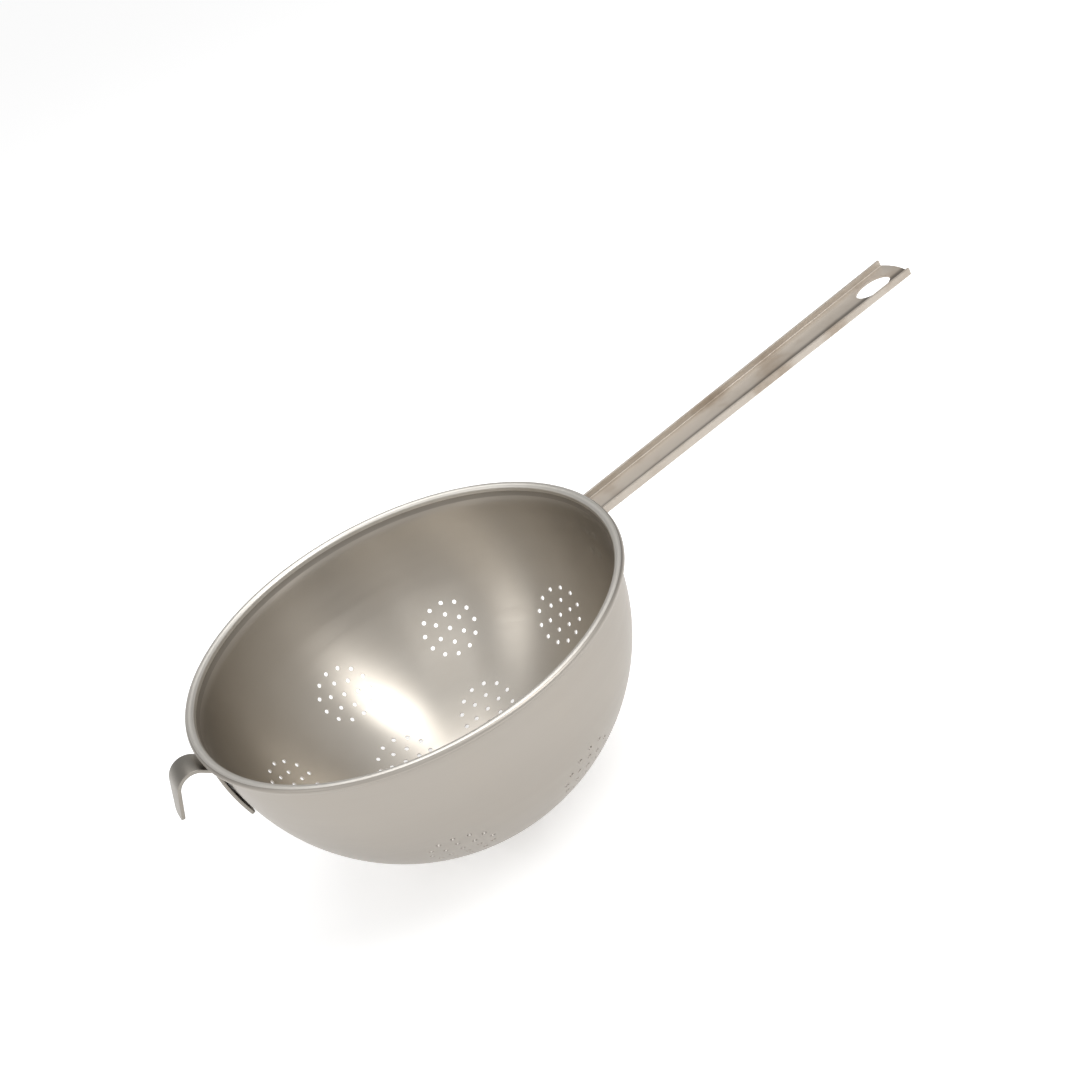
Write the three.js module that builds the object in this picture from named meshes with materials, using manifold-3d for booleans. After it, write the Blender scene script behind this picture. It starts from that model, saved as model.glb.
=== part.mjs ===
// Kitchen sieve: a pressed half-sphere bowl with a rolled rim and punched rosettes of holes, a folded
// channel handle with a hanging hole, and a bent-strip hook opposite it. The handle's tab and the
// hook's leg are spot-welded to the outside of the bowl.
// Millimetres, +Z up. The bowl's axis is Z, the handle points along +X, the hook along -X.
import * as THREE from 'three';
import { mergeGeometries, mergeVertices } from 'three/addons/utils/BufferGeometryUtils.js';
import Module from 'manifold-3d';

// Bowl: the outside radius of the half sphere and the sheet it is pressed from
const BOWL_RADIUS = 94;
const BOWL_SHEET = 0.8;

// Rim: a short collar flares out above the half sphere and its edge rolls outwards into an open bead
const COLLAR_HEIGHT = 7.2;
const COLLAR_FLARE = 1.15;
const BEAD_CORE_WIDTH = 2.6;
const BEAD_CORE_HEIGHT = 1.7;
const BEAD_SWEEP_DEGREES = 290;

// Punched rosettes: each is one hole with a ring of six and a ring of twelve around it
const HOLE_DIAMETER = 2.1;
const PUNCH_LENGTH = 30;
const INNER_RING_RADIUS = 7;
const OUTER_RING_RADIUS = 12.9;
const UPPER_ROW_DEPTH_DEGREES = 34.1;
const UPPER_ROW_COUNT = 8;
const LOWER_ROW_DEPTH_DEGREES = 60.8;
const LOWER_ROW_COUNT = 6;
const ROSETTE_CLOCKING_DEGREES = -2.3;

// Handle: a channel folded upwards from one strip, rising towards its end
const HANDLE_LENGTH = 186;
const HANDLE_RISE_DEGREES = 6;
const HANDLE_ROOT_WIDTH = 18.6;
const HANDLE_END_WIDTH = 22.2;
const HANDLE_HEIGHT = 4;
const HANDLE_SHEET = 1.2;
const HANDLE_INNER_FOLD = 1.2;
const HANDLE_END_BOW = 2;
const HANDLE_UNDER_BEAD = 0.5;
const HANG_HOLE_LENGTH = 18.5;
const HANG_HOLE_SIDE_MARGIN = 2.4;
const HANG_HOLE_END_MARGIN = 6.8;

// Tab: the handle's floor folds down at the collar and lies on the outside of the bowl
const TAB_WIDTH = 12;
const TAB_LENGTH = 24;
const TAB_CORNER = 4;
const TAB_FOLD_RADIUS = 1.5;

// Hook: a narrow strip that leaves the bowl under the bead, arches over and turns down again
const HOOK_WIDTH = 15;
const HOOK_TIP_WIDTH = 10;
const HOOK_SHEET = 1.5;
const HOOK_FOOT_LENGTH = 27;
const HOOK_FOOT_RADIUS = 2.5;
const HOOK_FOOT_HEIGHT = -1;
const HOOK_NECK_DEGREES = 40;
const HOOK_NECK_LENGTH = 4.3;
const HOOK_CROWN_RADIUS = 7.5;
const HOOK_SPLAY_DEGREES = 19;
const HOOK_FREE_LEG = 14.2;
const HOOK_CORNER = 2.5;

// Spot welds: nuggets between the bowl and the strips, with the play kept between pieces
const WELD_DIAMETER = 4;
const WELD_THICKNESS = 0.3;
const PLAY = 0.2;
const HANDLE_WELD_SPREAD = 6.5;
const HANDLE_WELD_DEPTHS = [8, 18];
const HOOK_WELD_DEPTHS = [10, 20];

// How finely round forms are divided
const BOWL_SEGMENTS = 40;
const DOME_STEPS = 9;
const BEAD_STEPS = 9;
const HOLE_SIDES = 6;
const BEND_STEPS = 6;
const FOLD_STEPS = 5;
const WELD_SIDES = 12;

const STEEL = { color: 0xb9b1a6, roughness: 0.36, metalness: 1 };
const HANDLE_STEEL = { color: 0xa99f93, roughness: 0.4, metalness: 1 };
const HOOK_STEEL = { color: 0xada49a, roughness: 0.4, metalness: 1 };
const WELD_STEEL = { color: 0x8f877d, roughness: 0.5, metalness: 1 };

const wasm = await Module();
wasm.setup();

const radians = THREE.MathUtils.degToRad;

// The bead's centre in the section through the axis, as radius and height above the sphere's centre
const beadHalfWidth = BEAD_CORE_WIDTH / 2 + BOWL_SHEET;
const beadHalfHeight = BEAD_CORE_HEIGHT / 2 + BOWL_SHEET;
const beadCentre = new THREE.Vector2(BOWL_RADIUS - BOWL_SHEET + COLLAR_FLARE + beadHalfWidth, COLLAR_HEIGHT);

// The space between the bowl and a welded strip, filled by the nugget and its play on both sides
const weldGap = WELD_THICKNESS + 2 * PLAY;

/** Turns a closed geometry into a solid that can be cut and joined. */
function solid(geometry) {
  const bare = geometry.index ? geometry.toNonIndexed() : geometry.clone();
  for (const name of Object.keys(bare.attributes)) {
    if (name !== 'position') bare.deleteAttribute(name);
  }
  const merged = mergeVertices(bare, 1e-5);
  const vertProperties = new Float32Array(merged.attributes.position.array);
  const triVerts = new Uint32Array(merged.index.array);
  return new wasm.Manifold(new wasm.Mesh({ numProp: 3, vertProperties, triVerts }));
}

/** Turns a solid back into a geometry. */
function geometryOf(body) {
  const { vertProperties, triVerts, numProp } = body.getMesh();
  const geometry = new THREE.BufferGeometry();
  const positions = new THREE.InterleavedBuffer(vertProperties, numProp);
  geometry.setAttribute('position', new THREE.InterleavedBufferAttribute(positions, 3, 0));
  geometry.setIndex(new THREE.BufferAttribute(triVerts, 1));
  const plain = geometry.toNonIndexed();
  plain.computeVertexNormals();
  return plain;
}

/** A named piece in its own steel. */
function piece(name, geometry, steel) {
  const mesh = new THREE.Mesh(geometry, new THREE.MeshStandardMaterial(steel));
  mesh.name = name;
  return mesh;
}

/** Points on an arc in the section plane, from one angle to another, with its own width and height. */
function arc(centre, radius, fromDegrees, toDegrees, steps, heightRadius = radius) {
  const points = [];
  for (let i = 0; i <= steps; i += 1) {
    const angle = radians(fromDegrees + ((toDegrees - fromDegrees) * i) / steps);
    const spoke = new THREE.Vector2(radius * Math.cos(angle), heightRadius * Math.sin(angle));
    points.push(spoke.add(centre));
  }
  return points;
}

/** The outline of a strip of the given thickness whose middle line runs through the points. */
function stripShape(middle, thickness) {
  const left = [];
  const right = [];
  middle.forEach((point, i) => {
    const before = middle[Math.max(i - 1, 0)];
    const after = middle[Math.min(i + 1, middle.length - 1)];
    const along = after.clone().sub(before).normalize();
    const across = new THREE.Vector2(-along.y, along.x).multiplyScalar(thickness / 2);
    left.push(point.clone().add(across));
    right.push(point.clone().sub(across));
  });
  return new THREE.Shape([...left, ...right.reverse()]);
}

/** A section in the XZ plane, given as a shape, drawn out by a width centred on y = 0. */
function drawnAcross(shape, width) {
  const geometry = new THREE.ExtrudeGeometry(shape, { depth: width, bevelEnabled: false, curveSegments: 8 });
  geometry.translate(0, 0, -width / 2);
  geometry.rotateX(Math.PI / 2);
  return geometry;
}

/** The unit direction from the sphere's centre at a depth below the rim plane and an azimuth. */
function direction(depth, azimuth) {
  const level = Math.cos(depth);
  return new THREE.Vector3(level * Math.cos(azimuth), level * Math.sin(azimuth), -Math.sin(depth));
}

/** Directions of one rosette's holes, spread over the sphere around the rosette's centre. */
function rosetteHoles(depth, azimuth) {
  const centre = direction(depth, azimuth);
  const downhill = direction(depth + Math.PI / 2, azimuth);
  const sideways = new THREE.Vector3().crossVectors(centre, downhill);
  const holes = [centre];
  for (const [radius, count] of [[INNER_RING_RADIUS, 6], [OUTER_RING_RADIUS, 12]]) {
    const spread = radius / BOWL_RADIUS;
    for (let i = 0; i < count; i += 1) {
      const turn = (2 * Math.PI * i) / count;
      const towards = downhill.clone().multiplyScalar(Math.cos(turn));
      towards.addScaledVector(sideways, Math.sin(turn));
      holes.push(centre.clone().multiplyScalar(Math.cos(spread)).addScaledVector(towards, Math.sin(spread)));
    }
  }
  return holes;
}

/** All hole directions: an upper row, a lower row and one rosette at the bottom. */
function holeDirections() {
  const clocking = radians(ROSETTE_CLOCKING_DEGREES);
  const holes = rosetteHoles(Math.PI / 2, clocking);
  for (let i = 0; i < UPPER_ROW_COUNT; i += 1) {
    const azimuth = (2 * Math.PI * (i + 0.5)) / UPPER_ROW_COUNT + clocking;
    holes.push(...rosetteHoles(radians(UPPER_ROW_DEPTH_DEGREES), azimuth));
  }
  for (let i = 0; i < LOWER_ROW_COUNT; i += 1) {
    const azimuth = (2 * Math.PI * i) / LOWER_ROW_COUNT + clocking;
    holes.push(...rosetteHoles(radians(LOWER_ROW_DEPTH_DEGREES), azimuth));
  }
  return holes;
}

/** One slender cone for each hole, pointing inwards through the wall along the hole's direction. */
function punches() {
  const taper = HOLE_DIAMETER / 2 / PUNCH_LENGTH;
  const base = HOLE_DIAMETER / 2 + taper * PLAY;
  const inwards = new THREE.Vector3(0, 1, 0);
  const shapes = holeDirections().map((towards) => {
    const punch = new THREE.ConeGeometry(base, PUNCH_LENGTH + PLAY, HOLE_SIDES);
    punch.applyQuaternion(new THREE.Quaternion().setFromUnitVectors(inwards, towards.clone().negate()));
    const middle = towards.clone().multiplyScalar(BOWL_RADIUS + PLAY - (PUNCH_LENGTH + PLAY) / 2);
    punch.translate(middle.x, middle.y, middle.z);
    return punch;
  });
  return mergeGeometries(shapes);
}

/** The bowl: the sheet's two faces from the bottom to the rolled edge, turned about the axis. */
function bowlGeometry() {
  const centre = new THREE.Vector2(0, 0);
  const innerRadius = BOWL_RADIUS - BOWL_SHEET;
  const beadEnd = 180 - BEAD_SWEEP_DEGREES;
  const outside = arc(centre, BOWL_RADIUS, -90, 0, DOME_STEPS);
  const insideBead = arc(beadCentre, BEAD_CORE_WIDTH / 2, 180, beadEnd, BEAD_STEPS, BEAD_CORE_HEIGHT / 2);
  const overBead = arc(beadCentre, beadHalfWidth, beadEnd, 180, BEAD_STEPS, beadHalfHeight);
  const inside = arc(centre, innerRadius, 0, -90, DOME_STEPS);
  const section = [...outside, ...insideBead, ...overBead, ...inside];
  section[0].x = 0;
  section[section.length - 1].x = 0;
  const turned = new THREE.LatheGeometry(section, BOWL_SEGMENTS);
  turned.rotateX(Math.PI / 2);
  return geometryOf(solid(turned).subtract(solid(punches())));
}

/** The middle line of a strip that lies on the bowl and folds away from it, from its low end upwards. */
function lineOffBowl(sheet, length, foldHeight, foldRadius, slopeDegrees) {
  const radius = BOWL_RADIUS + weldGap + sheet / 2;
  const top = THREE.MathUtils.radToDeg(Math.min(foldHeight, 0) / radius);
  const bottom = top - THREE.MathUtils.radToDeg(length / radius);
  const onBowl = arc(new THREE.Vector2(0, 0), radius, bottom, top, BEND_STEPS);
  const foldStart = new THREE.Vector2(onBowl[BEND_STEPS].x, foldHeight);
  const foldCentre = foldStart.clone().add(new THREE.Vector2(foldRadius, 0));
  return [...onBowl, ...arc(foldCentre, foldRadius, 180, 90 + slopeDegrees, BEND_STEPS).slice(1)];
}

/** A tall block that trims a strip's low end: seen from the front it narrows to its rounded end. */
function endTrim(width, endWidth, taperFrom, depth, cornerRadius, reach) {
  const half = width / 2;
  const endHalf = endWidth / 2;
  const corner = Math.min(cornerRadius, endHalf);
  const low = -depth + corner;
  const front = new THREE.Shape();
  front.moveTo(-half, reach);
  front.lineTo(-half, taperFrom);
  front.lineTo(-endHalf, low);
  front.absarc(-endHalf + corner, low, corner, Math.PI, 1.5 * Math.PI, false);
  front.absarc(endHalf - corner, low, corner, 1.5 * Math.PI, 2 * Math.PI, false);
  front.lineTo(half, taperFrom);
  front.lineTo(half, reach);
  const block = new THREE.ExtrudeGeometry(front, { depth: 2 * reach, bevelEnabled: false, curveSegments: 4 });
  block.rotateX(Math.PI / 2);
  block.rotateZ(Math.PI / 2);
  return block;
}

// The tab folds so that the handle's flanges pass just under the bead; its line ends at the floor
const handleRise = radians(HANDLE_RISE_DEGREES);
const floorHeight = COLLAR_HEIGHT - beadHalfHeight - HANDLE_UNDER_BEAD - HANDLE_HEIGHT * Math.cos(handleRise);
const tabFoldHeight = floorHeight + (HANDLE_SHEET / 2 - TAB_FOLD_RADIUS) * Math.cos(handleRise);
const tabLine = lineOffBowl(HANDLE_SHEET, TAB_LENGTH, tabFoldHeight, TAB_FOLD_RADIUS, HANDLE_RISE_DEGREES);

// The handle's own origin: the underside of its floor where the tab's fold ends, as radius and height
const floorDown = new THREE.Vector2(Math.sin(handleRise), -Math.cos(handleRise));
const handleRoot = tabLine[tabLine.length - 1].clone().addScaledVector(floorDown, HANDLE_SHEET / 2);
const innerFold = Math.min(HANDLE_INNER_FOLD, HANDLE_HEIGHT - HANDLE_SHEET - PLAY);
const handleFold = innerFold + HANDLE_SHEET;

/** A channel section across the handle: floor, two folds and two flanges, as a closed loop. */
function channelLoop(width) {
  const half = width / 2;
  const corner = new THREE.Vector2(half - handleFold, handleFold);
  const right = [
    ...arc(corner, handleFold, -90, 0, FOLD_STEPS),
    new THREE.Vector2(half, HANDLE_HEIGHT),
    new THREE.Vector2(half - HANDLE_SHEET, HANDLE_HEIGHT),
    ...arc(corner, innerFold, 0, -90, FOLD_STEPS),
  ];
  const left = right.map((point) => new THREE.Vector2(-point.x, point.y)).reverse();
  return [...right, ...left];
}

/** A solid between two loops of equal count, one at each end of the handle. */
function loftAlong(firstLoop, firstX, lastLoop, lastX) {
  const count = firstLoop.length;
  const positions = [];
  for (const [loop, x] of [[firstLoop, firstX], [lastLoop, lastX]]) {
    for (const point of loop) positions.push(x, point.x, point.y);
  }
  const indices = [];
  for (let i = 0; i < count; i += 1) {
    const next = (i + 1) % count;
    indices.push(i, next, count + next);
    indices.push(i, count + next, count + i);
  }
  for (const [a, b, c] of THREE.ShapeUtils.triangulateShape(firstLoop, [])) {
    indices.push(a, c, b);
    indices.push(count + a, count + b, count + c);
  }
  const geometry = new THREE.BufferGeometry();
  geometry.setAttribute('position', new THREE.Float32BufferAttribute(positions, 3));
  geometry.setIndex(indices);
  return geometry;
}

/** The rounded slot that the handle hangs by, standing through its floor. */
function hangHole() {
  const centre = HANDLE_LENGTH - HANG_HOLE_END_MARGIN - HANG_HOLE_LENGTH / 2;
  const halfWidth = HANDLE_END_WIDTH / 2 - handleFold - HANG_HOLE_SIDE_MARGIN;
  const slot = new THREE.Shape();
  slot.absellipse(centre, 0, HANG_HOLE_LENGTH / 2, halfWidth, 0, 2 * Math.PI, false, 0);
  const depth = HANDLE_HEIGHT * 2;
  const cutter = new THREE.ExtrudeGeometry(slot, { depth, bevelEnabled: false, curveSegments: 10 });
  cutter.translate(0, 0, -depth / 2);
  return cutter;
}

/** A block whose far side is bowed, for trimming the handle's end. */
function handleEndTrim() {
  const half = HANDLE_END_WIDTH;
  const depth = HANDLE_HEIGHT * 4;
  const plan = new THREE.Shape();
  const corner = HANDLE_LENGTH - HANDLE_END_BOW;
  plan.moveTo(-HANDLE_LENGTH, -half);
  plan.lineTo(corner, -half);
  plan.lineTo(corner, -HANDLE_END_WIDTH / 2);
  plan.quadraticCurveTo(HANDLE_LENGTH + HANDLE_END_BOW, 0, corner, HANDLE_END_WIDTH / 2);
  plan.lineTo(corner, half);
  plan.lineTo(-HANDLE_LENGTH, half);
  const block = new THREE.ExtrudeGeometry(plan, { depth, bevelEnabled: false, curveSegments: 8 });
  block.translate(0, 0, -depth / 2);
  return block;
}

/** The handle's tab, in the handle's own frame: a lap in the floor, the fold and the leg on the bowl. */
function tabSolid() {
  const origin = new THREE.Vector2(0, 0);
  const line = tabLine.map((point) => point.clone().sub(handleRoot).rotateAround(origin, -handleRise));
  const lap = new THREE.Vector2(HANDLE_ROOT_WIDTH / 2, HANDLE_SHEET / 2);
  const tab = solid(drawnAcross(stripShape([...line, lap], HANDLE_SHEET), TAB_WIDTH));
  const lowEnd = tabLine[0].y;
  const width = TAB_WIDTH + PLAY;
  const trim = endTrim(width, width, 0, -lowEnd, TAB_CORNER, 2 * BOWL_RADIUS);
  trim.translate(-handleRoot.x, 0, -handleRoot.y);
  trim.rotateY(handleRise);
  return tab.intersect(solid(trim));
}

/** The handle in its own frame: x along it from the bead, z = 0 under its floor. */
function handleGeometry() {
  const loops = [channelLoop(HANDLE_ROOT_WIDTH), channelLoop(HANDLE_END_WIDTH)];
  const channel = solid(loftAlong(loops[0], 0, loops[1], HANDLE_LENGTH + HANDLE_END_BOW));
  return geometryOf(channel.intersect(solid(handleEndTrim())).add(tabSolid()).subtract(solid(hangHole())));
}

/** The hook's middle line, from the low end of its foot over the crown to the free tip. */
function hookLine() {
  const neckDegrees = HOOK_NECK_DEGREES;
  const foot = lineOffBowl(HOOK_SHEET, HOOK_FOOT_LENGTH, HOOK_FOOT_HEIGHT, HOOK_FOOT_RADIUS, neckDegrees);
  const neck = radians(neckDegrees);
  const splay = radians(HOOK_SPLAY_DEGREES);
  const upNeck = new THREE.Vector2(Math.cos(neck), Math.sin(neck));
  const underNeck = new THREE.Vector2(Math.sin(neck), -Math.cos(neck));
  const downLeg = new THREE.Vector2(Math.sin(splay), -Math.cos(splay));
  const neckEnd = foot[foot.length - 1].clone().addScaledVector(upNeck, HOOK_NECK_LENGTH);
  const crownCentre = neckEnd.clone().addScaledVector(underNeck, HOOK_CROWN_RADIUS);
  const crown = arc(crownCentre, HOOK_CROWN_RADIUS, 90 + neckDegrees, HOOK_SPLAY_DEGREES, 2 * BEND_STEPS);
  const tip = crown[crown.length - 1].clone().addScaledVector(downLeg, HOOK_FREE_LEG);
  return [...foot, ...crown, tip];
}

/** The hook, still on the handle's side: a strip along its middle line that narrows to its free tip. */
function hookGeometry() {
  const line = hookLine();
  const strip = solid(drawnAcross(stripShape(line, HOOK_SHEET), HOOK_WIDTH));
  const reach = 2 * BOWL_RADIUS;
  const tip = line[line.length - 1];
  const width = HOOK_WIDTH + PLAY;
  const crownTop = Math.max(...line.map((point) => point.y));
  const footTrim = endTrim(width, width, 0, -line[0].y, HOOK_CORNER, reach);
  const tipTrim = endTrim(width, HOOK_TIP_WIDTH, crownTop, -tip.y, HOOK_CORNER, reach);
  const [leg, foot] = strip.splitByPlane([1, 0, 0], (tip.x + BOWL_RADIUS) / 2);
  return geometryOf(foot.intersect(solid(footTrim)).add(leg.intersect(solid(tipTrim))));
}

/** A weld nugget lying on the bowl at a depth below the sphere's centre and a step sideways. */
function weldGeometry(depth, sideways) {
  const radius = WELD_DIAMETER / 2;
  const nugget = new THREE.CylinderGeometry(radius, radius, WELD_THICKNESS, WELD_SIDES);
  const level = Math.sqrt(BOWL_RADIUS ** 2 - depth ** 2 - sideways ** 2);
  const towards = new THREE.Vector3(level, sideways, -depth).normalize();
  nugget.applyQuaternion(new THREE.Quaternion().setFromUnitVectors(new THREE.Vector3(0, 1, 0), towards));
  const middle = towards.multiplyScalar(BOWL_RADIUS + weldGap / 2);
  nugget.translate(middle.x, middle.y, middle.z);
  return nugget;
}

const sieve = new THREE.Group();
sieve.add(piece('bowl', bowlGeometry(), STEEL));

const handleSide = new THREE.Group();
const handle = piece('handle', handleGeometry(), HANDLE_STEEL);
handle.position.set(handleRoot.x, 0, handleRoot.y);
handle.rotation.y = -handleRise;
handleSide.add(handle);
HANDLE_WELD_DEPTHS.forEach((depth, row) => {
  [-1, 1].forEach((side, column) => {
    const name = `handle_weld_${2 * row + column + 1}`;
    handleSide.add(piece(name, weldGeometry(depth, (side * HANDLE_WELD_SPREAD) / 2), WELD_STEEL));
  });
});
sieve.add(handleSide);

const hookSide = new THREE.Group();
hookSide.add(piece('hook', hookGeometry(), HOOK_STEEL));
HOOK_WELD_DEPTHS.forEach((depth, row) => {
  hookSide.add(piece(`hook_weld_${row + 1}`, weldGeometry(depth, 0), WELD_STEEL));
});
hookSide.rotation.z = Math.PI;
sieve.add(hookSide);

// The origin is under the middle of the whole sieve, on the plane that the bowl touches
sieve.updateMatrixWorld(true);
const extent = new THREE.Box3().setFromObject(sieve, true);
sieve.position.set(-(extent.min.x + extent.max.x) / 2, -(extent.min.y + extent.max.y) / 2, -extent.min.z);

export default sieve;
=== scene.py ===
"""Looks of a kitchen sieve: a pressed bowl with punched rosettes, a channel handle and a rim hook.

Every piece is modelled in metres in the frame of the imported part, which stays as it is.
"""
import logging
from abc import ABC, abstractmethod
from dataclasses import dataclass, field
from enum import Enum, IntEnum
from functools import cached_property
from itertools import pairwise
from math import cos, hypot, pi, radians, sin, sqrt
from typing import Any, Callable, Iterator, Sequence, Union

import bmesh
import bpy
from mathutils import Matrix, Vector


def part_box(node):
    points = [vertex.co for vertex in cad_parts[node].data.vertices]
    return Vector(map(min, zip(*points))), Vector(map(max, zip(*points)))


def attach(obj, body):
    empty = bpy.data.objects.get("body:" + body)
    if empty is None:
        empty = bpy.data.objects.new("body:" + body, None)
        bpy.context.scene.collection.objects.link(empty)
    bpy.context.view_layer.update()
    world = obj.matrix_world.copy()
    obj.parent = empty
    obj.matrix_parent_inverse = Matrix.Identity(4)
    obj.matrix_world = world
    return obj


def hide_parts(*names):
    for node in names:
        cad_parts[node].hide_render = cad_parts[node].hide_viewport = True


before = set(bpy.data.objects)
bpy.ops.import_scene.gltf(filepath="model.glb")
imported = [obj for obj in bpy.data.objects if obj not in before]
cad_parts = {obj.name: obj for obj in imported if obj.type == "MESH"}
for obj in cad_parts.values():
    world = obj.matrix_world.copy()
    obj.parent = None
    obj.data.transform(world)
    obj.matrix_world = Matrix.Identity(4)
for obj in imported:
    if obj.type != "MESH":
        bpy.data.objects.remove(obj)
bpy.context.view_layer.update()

LOG = logging.getLogger("sieve")
MM = 0.001
TOUCH = 1e-6  # two points that are closer than this are one
LEVEL_DIGITS = 7  # digits that tell rows of vertices apart
NOISE_MIDDLE = 0.5

Piece = bpy.types.Object
Colour = tuple[float, float, float]
Profile = list[tuple[float, float]]


@dataclass(frozen=True)
class SieveSizes:
    """Driving sizes of the sieve in metres, and the places that follow from them.

    Sections through the bowl's axis are given as radius and height from the sphere's centre.
    """

    bowl_radius: float = 94 * MM
    bowl_sheet: float = 0.8 * MM
    collar_height: float = 7.2 * MM
    collar_flare: float = 1.15 * MM
    bead_core_width: float = 2.6 * MM
    bead_core_height: float = 1.7 * MM
    bead_sweep: float = radians(290)

    hole_diameter: float = 2.1 * MM
    inner_ring_radius: float = 7 * MM
    outer_ring_radius: float = 12.9 * MM
    upper_row_depth: float = radians(34.1)
    upper_row_count: int = 8
    lower_row_depth: float = radians(60.8)
    lower_row_count: int = 6
    rosette_clocking: float = radians(-2.3)
    inner_ring_count: int = 6
    outer_ring_count: int = 12

    handle_length: float = 186 * MM
    handle_rise: float = radians(6)
    handle_root_width: float = 18.6 * MM
    handle_end_width: float = 22.2 * MM
    handle_height: float = 4 * MM
    handle_sheet: float = 1.2 * MM
    handle_inner_fold: float = 0.5 * MM
    handle_end_bow: float = 2 * MM
    handle_under_bead: float = 0.5 * MM
    hang_hole_length: float = 18.5 * MM
    hang_hole_side_margin: float = 3.1 * MM
    hang_hole_end_margin: float = 6.8 * MM

    tab_width: float = 12 * MM
    tab_length: float = 24 * MM
    tab_corner: float = 4 * MM
    tab_fold_radius: float = 1.5 * MM

    hook_width: float = 15 * MM
    hook_tip_width: float = 10 * MM
    hook_sheet: float = 1.5 * MM
    hook_foot_length: float = 27 * MM
    hook_foot_radius: float = 2.5 * MM
    hook_foot_height: float = -1 * MM
    hook_neck: float = radians(40)
    hook_neck_length: float = 4.3 * MM
    hook_crown_radius: float = 7.5 * MM
    hook_splay: float = radians(19)
    hook_free_leg: float = 14.2 * MM
    hook_corner: float = 2.5 * MM
    bend_steps: int = 10
    crown_steps: int = 24

    weld_gap: float = 0.7 * MM
    handle_weld_spread: float = 6.5 * MM
    handle_weld_depths: tuple[float, float] = (8 * MM, 18 * MM)
    hook_weld_depths: tuple[float, float] = (10 * MM, 20 * MM)

    @cached_property
    def centre(self) -> Vector:
        """The sphere's centre in the row frame, over the middle of the bowl's node."""
        low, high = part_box("bowl")
        return Vector(((low.x + high.x) / 2, (low.y + high.y) / 2, low.z + self.bowl_radius))

    @property
    def inner_radius(self) -> float:
        """Radius of the bowl's inside face."""
        return self.bowl_radius - self.bowl_sheet

    @property
    def bead_half(self) -> tuple[float, float]:
        """Half the width and half the height of the rolled bead."""
        return self.bead_core_width / 2 + self.bowl_sheet, self.bead_core_height / 2 + self.bowl_sheet

    @property
    def bead_centre(self) -> tuple[float, float]:
        """Middle of the rolled bead in the section."""
        return self.inner_radius + self.collar_flare + self.bead_half[0], self.collar_height

    @property
    def handle_fold(self) -> float:
        """Outside radius of the handle's two long folds."""
        return self.handle_inner_fold + self.handle_sheet

    def off_bowl(self, sheet: float, length: float, height: float, radius: float, slope: float) -> Profile:
        """Gives the middle line of a strip that lies on the bowl and folds away from it.

        Args:
            sheet: Thickness of the strip.
            length: Length of the leg on the bowl.
            height: Height at which the fold starts.
            radius: Radius of the fold.
            slope: Slope of the strip after the fold.

        Returns:
            Points of the line, from the low end of the leg upwards.
        """
        reach = self.bowl_radius + self.weld_gap + sheet / 2
        top = min(height, 0.0) / reach
        leg = arc((0.0, 0.0), reach, reach, top - length / reach, top, self.bend_steps)
        fold_centre = (leg[-1][0] + radius, height)
        fold = arc(fold_centre, radius, radius, pi, pi / 2 + slope, self.bend_steps)
        return leg + fold[1:]

    def tab_line(self) -> Profile:
        """Middle line of the handle's tab, from its low end up to the handle's floor."""
        level = cos(self.handle_rise)
        bead_under = self.collar_height - self.bead_half[1]
        floor = bead_under - self.handle_under_bead - self.handle_height * level
        fold_height = floor + (self.handle_sheet / 2 - self.tab_fold_radius) * level
        return self.off_bowl(
            self.handle_sheet, self.tab_length, fold_height, self.tab_fold_radius, self.handle_rise
        )

    def handle_root(self) -> Vector:
        """Underside of the handle's floor where the tab's fold ends, from the sphere's centre."""
        radius, height = self.tab_line()[-1]
        half, rise = self.handle_sheet / 2, self.handle_rise
        return Vector((radius + half * sin(rise), 0.0, height - half * cos(rise)))

    def hook_line(self) -> Profile:
        """Middle line of the hook, from the low end of its foot over the crown to the free tip."""
        foot = self.off_bowl(
            self.hook_sheet, self.hook_foot_length, self.hook_foot_height, self.hook_foot_radius,
            self.hook_neck,
        )
        sine, cosine = sin(self.hook_neck), cos(self.hook_neck)
        neck = (foot[-1][0] + self.hook_neck_length * cosine, foot[-1][1] + self.hook_neck_length * sine)
        centre = (neck[0] + self.hook_crown_radius * sine, neck[1] - self.hook_crown_radius * cosine)
        radius = self.hook_crown_radius
        start = pi / 2 + self.hook_neck
        crown = arc(centre, radius, radius, start, self.hook_splay, self.crown_steps)
        tip = (
            crown[-1][0] + self.hook_free_leg * sin(self.hook_splay),
            crown[-1][1] - self.hook_free_leg * cos(self.hook_splay),
        )
        return foot + crown + [tip]

    def weld_places(self, depths: Sequence[float], steps: Sequence[float], side: int) -> tuple[Vector, ...]:
        """Gives the middles of spot welds in the row frame.

        Args:
            depths: Depths of the welds below the sphere's centre.
            steps: Steps of the welds sideways.
            side: 1 on the handle's side and -1 on the hook's.

        Returns:
            One point on the bowl's outside for each weld.
        """
        places = []
        for depth in depths:
            for step in steps:
                reach = sqrt(self.bowl_radius**2 - depth**2 - step**2)
                places.append(self.centre + Vector((side * reach, step, -depth)))
        return tuple(places)

    def handle_welds(self) -> tuple[Vector, ...]:
        """Middles of the four welds under the handle's tab."""
        half = self.handle_weld_spread / 2
        return self.weld_places(self.handle_weld_depths, (-half, half), 1)

    def hook_welds(self) -> tuple[Vector, ...]:
        """Middles of the two welds under the hook's foot."""
        return self.weld_places(self.hook_weld_depths, (0.0,), -1)


def arc(
    centre: tuple[float, float], width: float, height: float, start: float, end: float, steps: int
) -> Profile:
    """Gives points on an elliptical arc.

    Args:
        centre: Middle of the arc.
        width: Half width of the ellipse.
        height: Half height of the ellipse.
        start: First angle.
        end: Last angle.
        steps: Number of chords.

    Returns:
        The points from the first angle to the last.
    """
    angles = [start + (end - start) * i / steps for i in range(steps + 1)]
    return [(centre[0] + width * cos(a), centre[1] + height * sin(a)) for a in angles]


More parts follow.
